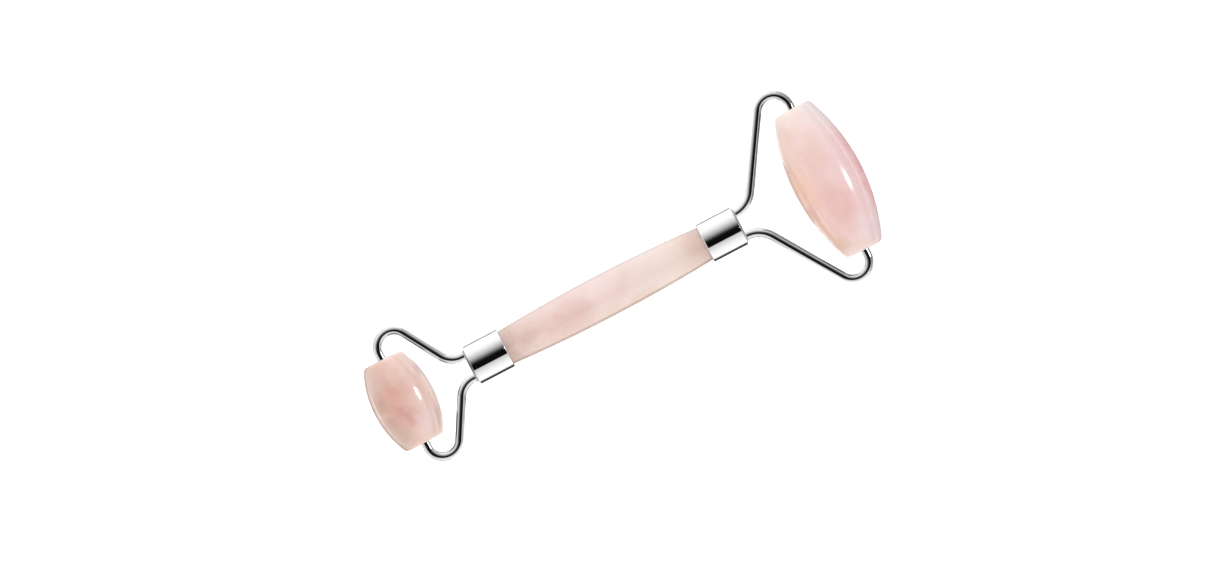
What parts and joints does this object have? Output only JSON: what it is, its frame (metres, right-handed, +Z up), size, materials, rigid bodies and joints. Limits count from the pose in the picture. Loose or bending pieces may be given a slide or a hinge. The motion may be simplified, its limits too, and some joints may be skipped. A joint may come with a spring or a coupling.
{
  "type": "face roller",
  "caption": "Double-ended massage face roller: stone handle, bright wire yokes held in metal ferrules, and a large and a small barrel-shaped stone roller that spin freely.",
  "frame": {"origin": "middle of the base: the object lies on the bellies of both rollers, which touch z = 0", "axes": "+X along the handle to the large roller, +Y along the roller axles, +Z up; lying down, the handle's own axis rises 0.49 degrees towards +X, because the large roller is fatter"},
  "size_m": [0.1452, 0.0562, 0.0191],
  "materials": {
    "rose_quartz": "polished, translucent, softly clouded",
    "bright_chrome": "bright plated",
    "nylon": "natural, smooth",
    "adhesive": "set, clear to straw-coloured"
  },
  "bodies": {
    "handle_frame": {"handle": "rose_quartz", "large_ferrule": "bright_chrome", "small_ferrule": "bright_chrome", "large_ferrule_adhesive": "adhesive", "small_ferrule_adhesive": "adhesive", "large_yoke_wire": "bright_chrome", "small_yoke_wire": "bright_chrome"},
    "large_roller_unit": {"large_roller": "rose_quartz", "large_roller_left_bush": "nylon", "large_roller_right_bush": "nylon"},
    "small_roller_unit": {"small_roller": "rose_quartz", "small_roller_left_bush": "nylon", "small_roller_right_bush": "nylon"}
  },
  "joints": [
    {"name": "large_roller_spin", "type": "hinge", "parent": "handle_frame", "child": "large_roller_unit", "pos_m": [0.06308, 0, 0.00955], "axis": [0, 1, 0], "continuous": true},
    {"name": "small_roller_spin", "type": "hinge", "parent": "handle_frame", "child": "small_roller_unit", "pos_m": [-0.06417, 0, 0.00845], "axis": [0, 1, 0], "continuous": true}
  ]
}
